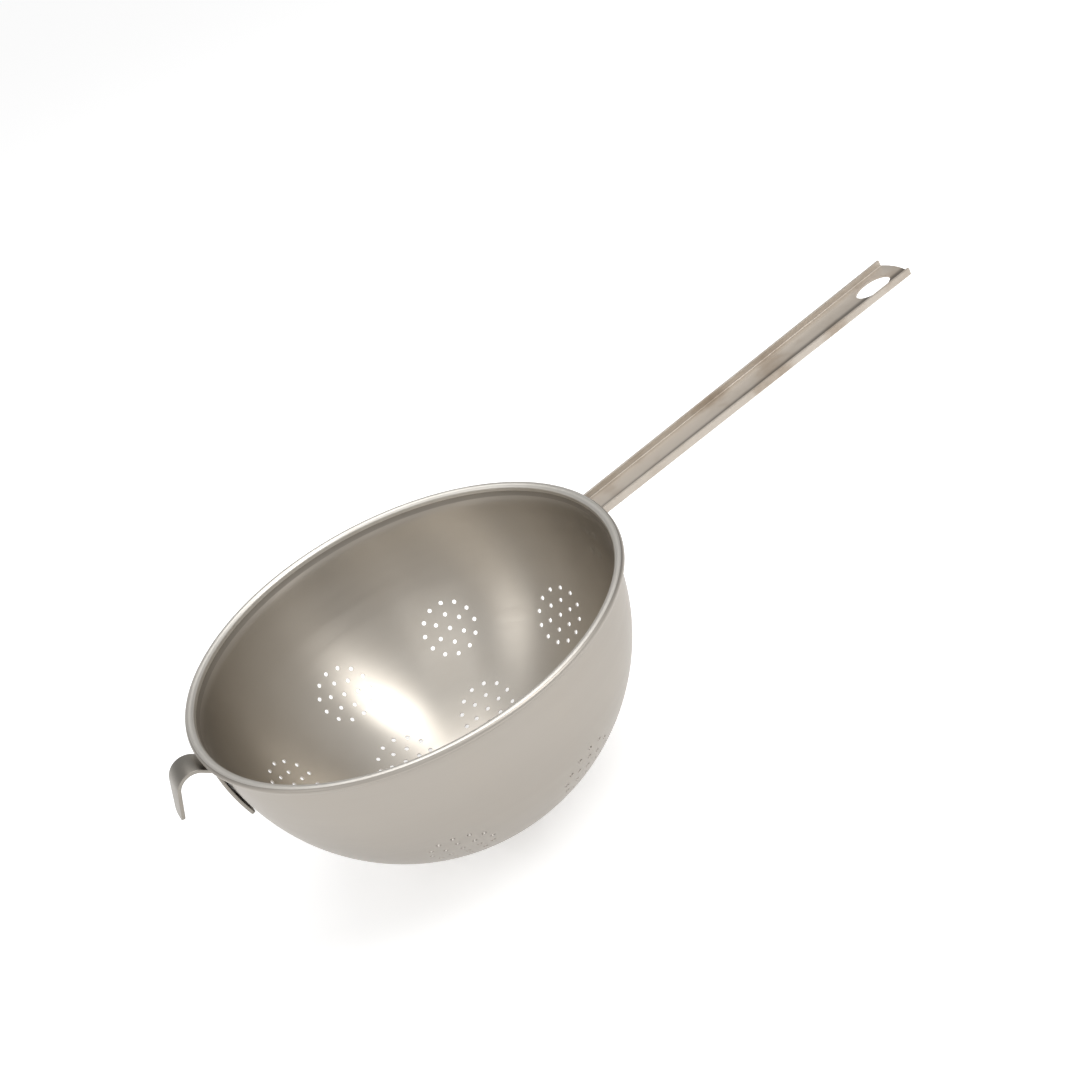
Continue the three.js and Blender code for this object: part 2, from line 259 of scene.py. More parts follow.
class Bench:
    """The modelling operators that the pieces share."""

    @staticmethod
    def clear() -> None:
        """Leaves edit mode and deselects everything."""
        if bpy.context.object is not None and bpy.context.object.mode != "OBJECT":
            bpy.ops.object.mode_set(mode="OBJECT")
        bpy.ops.object.select_all(action="DESELECT")

    @staticmethod
    def take(name: str) -> Piece:
        """Names the object that was just added and enters its edit mode."""
        piece = bpy.context.object
        piece.name = name
        piece.data.name = name
        bpy.ops.object.mode_set(mode="EDIT")
        return piece

    @staticmethod
    def pick(piece: Piece, wanted: Callable[[Vector], bool]) -> None:
        """Selects the vertices of a piece in edit mode by their place.

        Args:
            piece: The object in edit mode.
            wanted: Test of a vertex's place in the mesh.
        """
        bpy.ops.mesh.select_mode(type="VERT")
        bpy.ops.mesh.select_all(action="DESELECT")
        mesh = bmesh.from_edit_mesh(piece.data)
        for vertex in mesh.verts:
            if wanted(vertex.co):
                vertex.select_set(True)
        mesh.select_flush(True)
        bmesh.update_edit_mesh(piece.data)

    @staticmethod
    def draw_out(step: Vector) -> None:
        """Extrudes the selected edges by one step and keeps the new edges selected."""
        bpy.ops.mesh.extrude_edges_move(TRANSFORM_OT_translate={"value": step})

    @staticmethod
    def bend_along(points: Profile) -> None:
        """Extrudes the selected edge along a line in the XZ plane, starting at its first point."""
        for before, after in pairwise(points):
            Bench.draw_out(Vector((after[0] - before[0], 0.0, after[1] - before[1])))

    @staticmethod
    def set_normals() -> None:
        """Merges doubles and makes the faces point one way."""
        bpy.ops.mesh.select_all(action="SELECT")
        bpy.ops.mesh.remove_doubles(threshold=TOUCH)
        bpy.ops.mesh.normals_make_consistent(inside=False)

    @staticmethod
    def face_along(piece: Piece, seed: Vector, way: Vector) -> None:
        """Turns all faces over where the face nearest to a point looks the other way.

        Args:
            piece: The object in edit mode, with its faces made consistent.
            seed: A point of the surface.
            way: The direction that the surface should face there.
        """
        mesh = bmesh.from_edit_mesh(piece.data)
        nearest = min(mesh.faces, key=lambda face: (face.calc_center_median() - seed).length)
        if nearest.normal.dot(way) < 0:
            bpy.ops.mesh.select_all(action="SELECT")
            bpy.ops.mesh.flip_normals()

    @staticmethod
    def finish_modifier(piece: Piece, kind: str, **settings: Any) -> None:
        """Adds one modifier with its settings and applies it."""
        modifier = piece.modifiers.new(kind.title(), kind)
        for key, value in settings.items():
            setattr(modifier, key, value)
        bpy.context.view_layer.objects.active = piece
        bpy.ops.object.modifier_apply(modifier=modifier.name)

    @staticmethod
    def coat(piece: Piece, *materials: bpy.types.Material) -> None:
        """Gives a piece its materials in place of those that it has."""
        piece.data.materials.clear()
        for material in materials:
            piece.data.materials.append(material)

    @staticmethod
    def settle(piece: Piece, smooth_angle: float) -> None:
        """Puts the piece's place into its mesh and shades it smooth up to an angle."""
        Bench.clear()
        piece.select_set(True)
        bpy.context.view_layer.objects.active = piece
        bpy.ops.object.transform_apply(location=True, rotation=True, scale=True)
        bpy.ops.object.shade_smooth_by_angle(angle=smooth_angle)
        Bench.clear()


Value = Union["Sock", float]


def math_node(operation: str, swapped: bool = False) -> Callable[["Sock", Value], "Sock"]:
    """Makes a method that adds one Math node for a shader value and another value.

    Args:
        operation: The node's operation.
        swapped: Whether the other value comes first.

    Returns:
        The method.
    """

    def method(own: "Sock", other: Value) -> "Sock":
        first, second = (other, own) if swapped else (own, other)
        return own.tree.add("Math", {"operation": operation}, {0: first, 1: second})

    return method


@dataclass(frozen=True)
class Sock:
    """A shader value that takes part in Python expressions by adding Math nodes."""

    tree: "ShaderTree"
    socket: bpy.types.NodeSocket

    __add__ = math_node("ADD")
    __radd__ = math_node("ADD", swapped=True)
    __sub__ = math_node("SUBTRACT")
    __rsub__ = math_node("SUBTRACT", swapped=True)
    __mul__ = math_node("MULTIPLY")
    __rmul__ = math_node("MULTIPLY", swapped=True)
    __truediv__ = math_node("DIVIDE")
    angle_to = math_node("ARCTAN2")
    at_least = math_node("MAXIMUM")

    def remap(self, low: float, high: float, to_low: float, to_high: float) -> "Sock":
        """Smoothly carries one range over to another and holds its ends."""
        ranges = {"Value": self, "From Min": low, "From Max": high, "To Min": to_low, "To Max": to_high}
        return self.tree.add("MapRange", {"interpolation_type": "SMOOTHSTEP"}, ranges)


class ShaderTree:
    """The node tree of a material or world, filled by one generic method and a few named patterns."""

    def __init__(self, owner: Union[bpy.types.Material, bpy.types.World]) -> None:
        """Empties the node tree of a material or world."""
        self.owner = owner
        owner.use_nodes = True
        self.nodes = owner.node_tree.nodes
        self.links = owner.node_tree.links
        self.nodes.clear()

    def add(
        self, kind: str, settings: dict[str, Any], inputs: dict[Any, Any], output: Union[int, str] = 0
    ) -> Sock:
        """Adds any node.

        Args:
            kind: The node's type, without its common start.
            settings: Properties that are set first.
            inputs: Values or links for the node's sockets, by name or number.
            output: Name or number of the output that is wanted.

        Returns:
            The wanted output.
        """
        node = self.nodes.new("ShaderNode" + kind)
        for key, value in settings.items():
            setattr(node, key, value)
        for key, value in inputs.items():
            if isinstance(value, Sock):
                self.links.new(value.socket, node.inputs[key])
            else:
                node.inputs[key].default_value = value
        return Sock(self, node.outputs[output])

    def place(self) -> Sock:
        """Object coordinates."""
        return self.add("TexCoord", {}, {}, "Object")

    def split(self, vector: Sock) -> tuple[Sock, ...]:
        """The three parts of a vector."""
        first = self.add("SeparateXYZ", {}, {0: vector})
        return tuple(Sock(self, part) for part in first.socket.node.outputs)

    def join(self, x: Value, y: Value, z: Value) -> Sock:
        """A vector of three values."""
        return self.add("CombineXYZ", {}, {0: x, 1: y, 2: z})

    def length(self, vector: Sock) -> Sock:
        """Length of a vector."""
        return self.add("VectorMath", {"operation": "LENGTH"}, {0: vector}, "Value")

    def away(self, vector: Sock, point: Vector) -> Sock:
        """Vector from a fixed point."""
        return self.add("VectorMath", {"operation": "SUBTRACT"}, {0: vector, 1: tuple(point)})

    def noise(self, vector: Sock, scale: float, detail: float = 2.0, roughness: float = 0.5) -> Sock:
        """Grey noise between 0 and 1."""
        inputs = {"Vector": vector, "Scale": scale, "Detail": detail, "Roughness": roughness}
        return self.add("TexNoise", {}, inputs, "Fac")

    def blend(self, share: Value, first: Any, second: Any, kind: str = "MIX") -> Sock:
        """Mixes two colours by a share."""
        settings = {"data_type": "RGBA", "blend_type": kind}
        return self.add("Mix", settings, {0: share, 6: first, 7: second}, 2)

    def shade(self, share: Value, colour: Sock, tone: float) -> Sock:
        """Multiplies a colour by a tone, by a share."""
        return self.blend(share, colour, (tone, tone, tone, 1.0), "MULTIPLY")

    def bump(self, height: Sock, strength: float, distance: float) -> Sock:
        """A normal from a height in metres of the given distance."""
        return self.add("Bump", {}, {"Strength": strength, "Distance": distance, "Height": height})

    def finish(self, shader: Sock) -> None:
        """Links the shader to the tree's output."""
        world = isinstance(self.owner, bpy.types.World)
        output = self.nodes.new("ShaderNodeOutputWorld" if world else "ShaderNodeOutputMaterial")
        self.links.new(shader.socket, output.inputs["Surface"])


class Brushing(Enum):
    """How the polishing marks of a steel run."""

    ROUND = "in circles about the bowl's axis"
    ALONG = "along the strip"
    TUMBLED = "in no direction"


@dataclass(frozen=True)
class Marks:
    """How far polishing marks and the broader streaks between them are drawn out."""

    tumbled_streak: float = 0.08
    round_reach: float = 93.2 * MM
    round_turn: float = 3.0
    round_streak: float = 0.07
    round_streak_turn: float = 0.9
    along_mark: float = 20 * MM
    along_streak: float = 9.0
    across_streak: float = 420.0
    detail: float = 3.0


@dataclass(frozen=True)
class Wear:
    """How strongly marks, stains and welds show in a steel's colour, roughness and relief."""

    stain_from: float = 0.42
    stain_full: float = 0.72
    stain_detail: float = 3.0
    stain_grain: float = 0.55
    dark_streak: float = 0.82
    bright_streak: float = 1.18
    streak_rough: float = 0.10
    mark_rough: float = 0.08
    stain_rough: float = 0.10
    mark_relief: float = 0.35
    weld_share: float = 0.14
    weld_tone: float = 0.62
    weld_rough: float = 0.08
    weld_relief: float = 0.5
    weld_depth: float = 0.12 * MM
    weld_core: float = 0.6
    weld_halo: float = 1.25


@dataclass(frozen=True)
class Steel:
    """A satin stainless steel with its polishing marks, stains and spot-weld marks."""

    name: str
    colour: Colour
    stain: Colour
    roughness: float
    brushing: Brushing
    anisotropy: float = 0.0
    grain_turn: float = 0.25
    mark_spacing: float = 0.35 * MM
    mark_depth: float = 0.004 * MM
    streak_contrast: float = 0.06
    stain_size: float = 22 * MM
    stain_amount: float = 0.35
    weld_places: tuple[Vector, ...] = ()
    weld_radius: float = 2 * MM
    axis: Vector = field(default_factory=Vector)
    drawn: Marks = Marks()
    wear: Wear = Wear()

    def marks(self, tree: ShaderTree) -> tuple[Sock, Sock]:
        """Fine polishing marks and the broader streaks between them.

        Args:
            tree: The material's tree.

        Returns:
            Fine marks and broad streaks, both between 0 and 1.
        """
        drawn, spacing = self.drawn, self.mark_spacing
        local = tree.away(tree.place(), self.axis)
        if self.brushing is Brushing.TUMBLED:
            return tree.noise(local, 1 / spacing), tree.noise(local, drawn.tumbled_streak / spacing)
        x, y, z = tree.split(local)
        if self.brushing is Brushing.ROUND:
            reach = tree.length(tree.join(x, y, 0.0))
            turn_x, turn_y = x / reach, y / reach
            run = z.angle_to(reach) * (drawn.round_reach / spacing)
            fine = tree.join(run, turn_x * drawn.round_turn, turn_y * drawn.round_turn)
            wide = drawn.round_streak_turn
            broad = tree.join(run * drawn.round_streak, turn_x * wide, turn_y * wide)
        else:
            fine = tree.join(x * (drawn.along_mark / spacing), y / spacing, z / spacing)
            broad = tree.join(x * drawn.along_streak, y * drawn.across_streak, z * drawn.across_streak)
        return tree.noise(fine, 1.0, drawn.detail), tree.noise(broad, 1.0, drawn.detail)

    def weld_spots(self, tree: ShaderTree) -> Sock | None:
        """A mask that is 1 in the middle of each spot weld, or nothing where there are none."""
        core, halo = self.wear.weld_core * self.weld_radius, self.wear.weld_halo * self.weld_radius
        mask = None
        for weld in self.weld_places:
            spot = tree.length(tree.away(tree.place(), weld)).remap(core, halo, 1.0, 0.0)
            mask = spot if mask is None else mask.at_least(spot)
        return mask

    @staticmethod
    def toned(colour: Colour, tone: float) -> tuple[float, ...]:
        """A colour times a tone, held at white, with full cover."""
        return tuple(min(1.0, part * tone) for part in colour) + (1.0,)

    def tint(self, tree: ShaderTree, fine: Sock, broad: Sock, share: Sock) -> Sock:
        """Gives the colour with its streaks and stains, and any painted light and shade.

        Args:
            tree: The material's tree.
            fine: Fine polishing marks.
            broad: Broad streaks.
            share: Share of the stain.

        Returns:
            The colour.
        """
        contrast = self.streak_contrast
        tone = (broad - NOISE_MIDDLE) * (2 * contrast) + (fine - NOISE_MIDDLE) * contrast
        dark = self.toned(self.colour, self.wear.dark_streak)
        bright = self.toned(self.colour, self.wear.bright_streak)
        streaked = tree.blend(tone + NOISE_MIDDLE, dark, bright)
        return self.paint_light_and_shade(tree, tree.blend(share, streaked, self.toned(self.stain, 1.0)))

    def paint_light_and_shade(self, tree: ShaderTree, colour: Sock) -> Sock:
        """Gives the colour with any painted light and shade, which leaves a plain steel as it is."""
        return colour

    def material(self) -> bpy.types.Material:
        """Builds the node material.

        Returns:
            The finished material.
        """
        wear = self.wear
        tree = ShaderTree(bpy.data.materials.new(self.name))
        fine, broad = self.marks(tree)
        cloud = tree.noise(tree.place(), 1 / self.stain_size, wear.stain_detail, wear.stain_grain)
        share = cloud.remap(wear.stain_from, wear.stain_full, 0.0, self.stain_amount)
        colour = self.tint(tree, fine, broad, share)
        rough = self.roughness + (broad - NOISE_MIDDLE) * wear.streak_rough
        rough = rough + (fine - NOISE_MIDDLE) * wear.mark_rough + share * wear.stain_rough
        normal = tree.bump(fine, wear.mark_relief, self.mark_depth)
        spots = self.weld_spots(tree)
        if spots is not None:
            colour = tree.blend(spots * wear.weld_share, colour, self.toned(self.stain, wear.weld_tone))
            rough = rough + spots * wear.weld_rough
            dent = {"Strength": wear.weld_relief, "Distance": wear.weld_depth, "Height": spots}
            normal = tree.add("Bump", {"invert": True}, dent | {"Normal": normal})
        inputs = {
            "Base Color": colour,
            "Metallic": 1.0,
            "Roughness": rough,
            "Anisotropic": self.anisotropy,
            "Anisotropic Rotation": self.grain_turn,
            "Normal": normal,
        }
        tree.finish(tree.add("BsdfPrincipled", {}, inputs))
        return tree.owner


@dataclass(frozen=True)
class ChannelSteel(Steel):
    """The handle's steel, with painted light on its flanges and outside and painted shade on the floor
    along the near flange.
    """

    sizes: SieveSizes = field(default_factory=SieveSizes)
    # Tones of painted light outside the channel and on its flanges, and of painted shade on the floor along
    # the near flange.
    outside_light_tone: float = 1.04
    flange_light_tone: float = 1.14
    crease_shade_tone: float = 0.42
    side_edge: tuple[float, float] = (-0.6 * MM, -0.2 * MM)
    under_edge: tuple[float, float] = (-0.8 * MM, -0.4 * MM)
    flange_edge: tuple[float, float] = (0.4 * MM, 0.9 * MM)
    crease_shade_edge: tuple[float, float] = (1.6 * MM, 4.4 * MM)

    def paint_light_and_shade(self, tree: ShaderTree, colour: Sock) -> Sock:
        """Paints light on what lies outside the channel and on its flanges, and shade on the floor along
        the near flange.

        Args:
            tree: The material's tree.
            colour: The colour of the channel's floor.

        Returns:
            The colour with painted light and shade.
        """
        sizes = self.sizes
        x, y, z = tree.split(tree.away(tree.place(), sizes.centre + sizes.handle_root()))
        sine, cosine = sin(sizes.handle_rise), cos(sizes.handle_rise)
        lift = z * cosine - x * sine - sizes.handle_sheet
        widening = (sizes.handle_end_width - sizes.handle_root_width) / 2 / sizes.handle_length
        half = x * widening + (sizes.handle_root_width / 2 - sizes.handle_sheet)
        between = (half - y.at_least(0 - y)).remap(*self.side_edge, 0.0, 1.0)
        inside = between * lift.remap(*self.under_edge, 0.0, 1.0)
        flange = lift.remap(*self.flange_edge, 0.0, 1.0)
        crease_shade = (0 - y).remap(*self.crease_shade_edge, 0.0, 1.0)
        # Painted light outside the channel and on its flanges, then painted shade on the floor along the
        # near flange.
        colour = tree.shade(1 - inside, colour, self.outside_light_tone)
        colour = tree.shade(inside * flange, colour, self.flange_light_tone)
        return tree.shade(inside * (1 - flange) * crease_shade, colour, self.crease_shade_tone)


class BowlSlot(IntEnum):
    """Places of the bowl's finishes in its material list."""

    INSIDE = 0
    OUTSIDE = 1
    # A brighter rim steel that stands for a painted highlight.
    RIM = 2
    HOLES = 3


@dataclass
class Bowl:
    """The pressed bowl with its rolled rim and punched rosettes."""

    sizes: SieveSizes
    segments: int = 256
    rings: int = 112
    collar_steps: int = 6
    bead_steps: int = 26
    # Bead faces that turn outward less than this, and look down less than bead_under, take the painted
    # highlight.
    highlight_turn: float = cos(radians(68))
    bead_under: float = -0.5
    hole_wall: float = 0.5
    collar_margin: float = 0.3 * MM
    hole_sides: int = 18
    punch_length: float = 6 * MM
    smooth_angle: float = radians(32)

    def build(self) -> Piece:
        """Models the bowl from a sphere.

        Returns:
            The finished bowl.
        """
        piece = self.dome()
        self.roll_rim(piece)
        Bench.set_normals()
        Bench.face_along(piece, Vector((0, 0, -self.sizes.inner_radius)), Vector((0, 0, -1)))
        Bench.clear()
        Bench.finish_modifier(
            piece, "SOLIDIFY", thickness=self.sizes.bowl_sheet, offset=1.0, use_even_offset=True
        )
        piece.location = self.sizes.centre
        self.punch(piece)
        Bench.settle(piece, self.smooth_angle)
        return piece

    def dome(self) -> Piece:
        """Keeps the lower half of a sphere as the bowl's inside face."""
        Bench.clear()
        bpy.ops.mesh.primitive_uv_sphere_add(
            segments=self.segments, ring_count=self.rings, radius=self.sizes.inner_radius
        )
        piece = Bench.take("bowl_pressed")
        Bench.pick(piece, lambda place: place.z > TOUCH)
        bpy.ops.mesh.delete(type="VERT")
        return piece

    def rim_profile(self) -> Profile:
        """Section of the collar and the bead, from the top of the half sphere to the rolled edge."""
        sizes = self.sizes
        collar = []
        for i in range(self.collar_steps):
            share = i / self.collar_steps
            flare = sizes.collar_flare * share * share * (3 - 2 * share)
            collar.append((sizes.inner_radius + flare, sizes.collar_height * share))
        end = pi - sizes.bead_sweep
        return collar + arc(sizes.bead_centre, *sizes.bead_half, pi, end, self.bead_steps)

    def roll_rim(self, piece: Piece) -> None:
        """Extrudes the open edge up the collar and round the bead, one ring at a time."""
        Bench.pick(piece, lambda place: abs(place.z) < TOUCH)
        for before, after in pairwise(self.rim_profile()):
            Bench.draw_out(Vector((0.0, 0.0, after[1] - before[1])))
            grow = after[0] / before[0]
            bpy.ops.transform.resize(value=(grow, grow, 1.0), center_override=(0.0, 0.0, after[1]))

    def hole_ways(self) -> Iterator[Vector]:
        """Directions of all holes from the sphere's centre."""
        sizes = self.sizes
        yield from self.rosette(pi / 2, sizes.rosette_clocking)
        upper = (sizes.upper_row_depth, sizes.upper_row_count, 0.5)
        lower = (sizes.lower_row_depth, sizes.lower_row_count, 0.0)
        for depth, count, shift in (upper, lower):
            for i in range(count):
                azimuth = 2 * pi * (i + shift) / count + sizes.rosette_clocking
                yield from self.rosette(depth, azimuth)

    def rosette(self, depth: float, azimuth: float) -> Iterator[Vector]:
        """Directions of one rosette: a hole, a ring of six and a ring of twelve."""
        middle = self.way(depth, azimuth)
        downhill = self.way(depth + pi / 2, azimuth)
        sideways = middle.cross(downhill)
        yield middle
        sizes = self.sizes
        inner = (sizes.inner_ring_radius, sizes.inner_ring_count)
        outer = (sizes.outer_ring_radius, sizes.outer_ring_count)
        for radius, count in (inner, outer):
            spread = radius / sizes.bowl_radius
            for i in range(count):
                turn = 2 * pi * i / count
                towards = downhill * cos(turn) + sideways * sin(turn)
                yield middle * cos(spread) + towards * sin(spread)

    @staticmethod
    def way(depth: float, azimuth: float) -> Vector:
        """Unit direction at a depth below the rim and an azimuth."""
        level = cos(depth)
        return Vector((level * cos(azimuth), level * sin(azimuth), -sin(depth)))

    def punch(self, piece: Piece) -> None:
        """Cuts all holes with copies of one round punch."""
        Bench.clear()
        middle = (self.sizes.bowl_radius + self.sizes.inner_radius) / 2
        punches = []
        bpy.ops.mesh.primitive_cylinder_add(
            vertices=self.hole_sides, radius=self.sizes.hole_diameter / 2, depth=self.punch_length
        )
        first = bpy.context.object
        for towards in self.hole_ways():
            copy = first.copy()
            copy.data = first.data.copy()
            turn = Vector((0, 0, 1)).rotation_difference(towards).to_matrix().to_4x4()
            copy.matrix_world = Matrix.Translation(self.sizes.centre + towards * middle) @ turn
            bpy.context.collection.objects.link(copy)
            punches.append(copy)
        for copy in punches:
            copy.select_set(True)
        bpy.context.view_layer.objects.active = first
        bpy.ops.object.join()
        bpy.ops.object.mode_set(mode="EDIT")
        Bench.pick(first, lambda place: place.length < 2 * self.punch_length)
        bpy.ops.mesh.delete(type="VERT")
        Bench.clear()
        bpy.context.view_layer.update()
        Bench.finish_modifier(piece, "BOOLEAN", operation="DIFFERENCE", object=first, solver="MANIFOLD")
        bpy.data.objects.remove(first)

    def slot_of(self, place: Vector, normal: Vector) -> BowlSlot:
        """Tells which finish a face of the bowl has.

        Args:
            place: The face's middle from the sphere's centre.
            normal: The face's normal.

        Returns:
            The finish's slot.
        """
        sizes = self.sizes
        border = (sizes.bowl_radius + sizes.inner_radius) / 2
        reach = hypot(place.x, place.y)
        # Bead faces that look up or inward take the bright rim steel, a painted highlight; the bead's other
        # faces take the outside steel.
        if place.z > sizes.collar_height - sizes.bead_half[1]:
            outward = normal.dot(Vector((place.x, place.y, 0)).normalized())
            bright = outward < self.highlight_turn and normal.z > self.bead_under
            return BowlSlot.RIM if bright else BowlSlot.OUTSIDE
        if place.z > 0:
            return BowlSlot.INSIDE if reach < border + self.collar_margin else BowlSlot.OUTSIDE
        if abs(normal.dot(place.normalized())) < self.hole_wall:
            return BowlSlot.HOLES
        return BowlSlot.INSIDE if place.length < border else BowlSlot.OUTSIDE

    def steels(self) -> dict[BowlSlot, Steel]:
        """The bowl's finishes as the photograph shows them, with a brighter rim steel as a painted
        highlight.
        """
        axis, stain = self.sizes.centre, (0.42, 0.37, 0.31)
        welds = self.sizes.handle_welds() + self.sizes.hook_welds()
        return {
            BowlSlot.INSIDE: Steel(
                "bowl_inside_steel", (0.50, 0.465, 0.415), stain, 0.34, Brushing.ROUND, axis=axis,
                anisotropy=0.75, weld_places=welds, stain_amount=0.15,
            ),
            BowlSlot.OUTSIDE: Steel(
                "bowl_outside_steel", (0.385, 0.355, 0.318), stain, 0.42, Brushing.ROUND, axis=axis,
                streak_contrast=0.03, stain_amount=0.1,
            ),
            # A brighter copy of the steel, a painted highlight on the bead's top and inner side.
            BowlSlot.RIM: Steel(
                "rim_highlight_steel", (0.71, 0.68, 0.63), stain, 0.42, Brushing.ROUND, axis=axis, stain_amount=0.15
            ),
            BowlSlot.HOLES: Steel(
                "punched_edge_steel", (0.60, 0.57, 0.53), stain, 0.5, Brushing.TUMBLED, axis=axis
            ),
        }

    def dress(self, piece: Piece) -> None:
        """Gives the inside, the outside, the rim's painted highlight and the holes of the bowl their
        finishes.
        """
        steels = self.steels()
        Bench.coat(piece, *(steels[slot].material() for slot in BowlSlot))
        for face in piece.data.polygons:
            face.material_index = self.slot_of(face.center - self.sizes.centre, face.normal)


@dataclass
class Strip(ABC):
    """What the bent strips share: their sheet, its rounded edges and corners, and one finish."""

    sizes: SieveSizes
    edge_round: float = 0.5 * MM
    edge_segments: int = 4
    edge_angle: float = radians(50)
    corner_segments: int = 8
    smooth_angle: float = radians(35)

    @staticmethod
    def thicken(piece: Piece, sheet: float, offset: float) -> None:
        """Gives the surface its sheet, to one side or to both."""
        Bench.finish_modifier(
            piece, "SOLIDIFY", thickness=sheet, offset=offset, use_even_offset=True,
            use_quality_normals=True,
        )

    def round_edges(self, piece: Piece) -> None:
        """Rounds the sheet's sharp edges."""
        Bench.finish_modifier(
            piece, "BEVEL", width=self.edge_round, segments=self.edge_segments, limit_method="ANGLE",
            angle_limit=self.edge_angle,
        )

    def round_corners(self, radius: float) -> None:
        """Rounds the strip's end at the picked vertices."""
        bpy.ops.mesh.bevel(offset=radius, segments=self.corner_segments, affect="VERTICES")

    @abstractmethod
    def steel(self) -> Steel:
        """The strip's finish as the photograph shows it."""

    def dress(self, piece: Piece) -> None:
        """Gives the strip its finish."""
        Bench.coat(piece, self.steel().material())


@dataclass
class Handle(Strip):
    """The folded channel handle with its tab on the bowl and its hanging hole."""

    fold_steps: int = 8
    end_cuts: int = 14
    hole_sides: int = 72

    def steel(self) -> Steel:
        """A dull, stained steel with painted light and shade on and about its channel."""
        sizes = self.sizes
        return ChannelSteel(
            "handle_steel", (0.53, 0.482, 0.425), (0.385, 0.32, 0.255), 0.60, Brushing.ALONG,
            axis=sizes.centre, weld_places=sizes.handle_welds(), stain_amount=0.8, sizes=sizes,
        )

    def build(self) -> Piece:
        """Models the handle from a flat strip, in its own frame, and puts it in place.

        Returns:
            The finished handle.
        """
        sizes = self.sizes
        piece = self.floor_strip()
        self.fold_flanges(piece)
        self.taper(piece)
        self.bow_end(piece)
        self.fold_tab(piece)
        Bench.set_normals()
        Bench.face_along(piece, Vector((sizes.handle_length / 2, 0, 0)), Vector((0, 0, 1)))
        Bench.clear()
        self.thicken(piece, sizes.handle_sheet, 1.0)
        self.cut_hang_hole(piece)
        self.round_edges(piece)
        piece.location = sizes.centre + sizes.handle_root()
        piece.rotation_euler = (0.0, -sizes.handle_rise, 0.0)
        Bench.settle(piece, self.smooth_angle)
        return piece

    def floor_half(self) -> float:
        """Half the flat width of the floor at the root."""
        return self.sizes.handle_root_width / 2 - self.sizes.handle_fold

    def floor_strip(self) -> Piece:
        """Adds the flat floor and cuts it lengthwise, for the tab and for the bow of its end."""
        sizes = self.sizes
        Bench.clear()
        bpy.ops.mesh.primitive_plane_add(size=1.0)
        piece = Bench.take("handle_folded")
        bpy.ops.transform.translate(value=(0.5, 0.0, 0.0))
        bpy.ops.transform.resize(
            value=(sizes.handle_length, 2 * self.floor_half(), 1.0), center_override=(0.0, 0.0, 0.0)
        )
        steps = [self.floor_half() * (2 * i / self.end_cuts - 1) for i in range(1, self.end_cuts)]
        tab_edges = [-sizes.tab_width / 2, sizes.tab_width / 2]
        apart = self.floor_half() / self.end_cuts
        steps = [step for step in steps if min(abs(step - edge) for edge in tab_edges) > apart]
        for step in steps + tab_edges:
            bpy.ops.mesh.select_all(action="SELECT")
            bpy.ops.mesh.bisect(plane_co=(0.0, step, 0.0), plane_no=(0.0, 1.0, 0.0))
        return piece

    def fold_flanges(self, piece: Piece) -> None:
        """Folds both long edges up into flanges."""
        sizes = self.sizes
        half = self.floor_half()
        fold = sizes.handle_fold
        line = arc((half, fold), fold, fold, -pi / 2, 0.0, self.fold_steps)
        line.append((half + fold, sizes.handle_height))
        for side in (-1, 1):
            Bench.pick(piece, lambda co, s=side: co.y * s > half - TOUCH and co.z < TOUCH)
            for before, after in pairwise(line):
                Bench.draw_out(Vector((0.0, side * (after[0] - before[0]), after[1] - before[1])))

    def taper(self, piece: Piece) -> None:
        """Widens the handle's end by moving its two sides apart."""
        sizes = self.sizes
        half = self.floor_half()
        widen = (sizes.handle_end_width - sizes.handle_root_width) / 2
        middle = sizes.handle_length / 2
        mesh = bmesh.from_edit_mesh(piece.data)
        inner = [v.co.y for v in mesh.verts if v.co.x > middle and abs(v.co.y) < half - TOUCH]
        levels = sorted({round(level, LEVEL_DIGITS) for level in inner})
        for side in (-1, 1):
            Bench.pick(piece, lambda co, s=side: co.x > middle and co.y * s > half - TOUCH)
            bpy.ops.transform.translate(value=(0.0, side * widen, 0.0))
        for level in levels:
            Bench.pick(
                piece, lambda co, y=level: co.x > middle and abs(co.y - y) < TOUCH and abs(co.z) < TOUCH
            )
            bpy.ops.transform.translate(value=(0.0, widen * level / half, 0.0))

    def bow_end(self, piece: Piece) -> None:
        """Bows the handle's end: the further out, the further back."""
        sizes = self.sizes
        half = sizes.handle_end_width / 2
        last = sizes.handle_length - TOUCH
        mesh = bmesh.from_edit_mesh(piece.data)
        ends = [abs(v.co.y) for v in mesh.verts if v.co.x > last]
        levels = sorted({round(level, LEVEL_DIGITS) for level in ends})
        for level in levels:
            Bench.pick(piece, lambda co, y=level: co.x > last and abs(abs(co.y) - y) < TOUCH)
            bpy.ops.transform.translate(value=(-sizes.handle_end_bow * (level / half) ** 2, 0.0, 0.0))

    def fold_tab(self, piece: Piece) -> None:
        """Draws the middle of the root edge down over the bowl and rounds its corners."""
        sizes = self.sizes
        root = sizes.handle_root()
        turn = Matrix.Rotation(sizes.handle_rise, 3, "Y")
        line = []
        for point in reversed(offset_line(sizes.tab_line(), -sizes.handle_sheet / 2)):
            local = turn @ (Vector((point[0], 0.0, point[1])) - root)
            line.append((local.x, local.z))
        line[0] = (0.0, 0.0)
        reach = sizes.tab_width / 2
        Bench.pick(piece, lambda co: co.x < TOUCH and abs(co.y) < reach + TOUCH and co.z < TOUCH)
        Bench.bend_along(line)
        low = Vector(line[-1])
        Bench.pick(
            piece,
            lambda co: abs(abs(co.y) - reach) < TOUCH and (Vector((co.x, co.z)) - low).length < 10 * TOUCH,
        )
        self.round_corners(sizes.tab_corner)

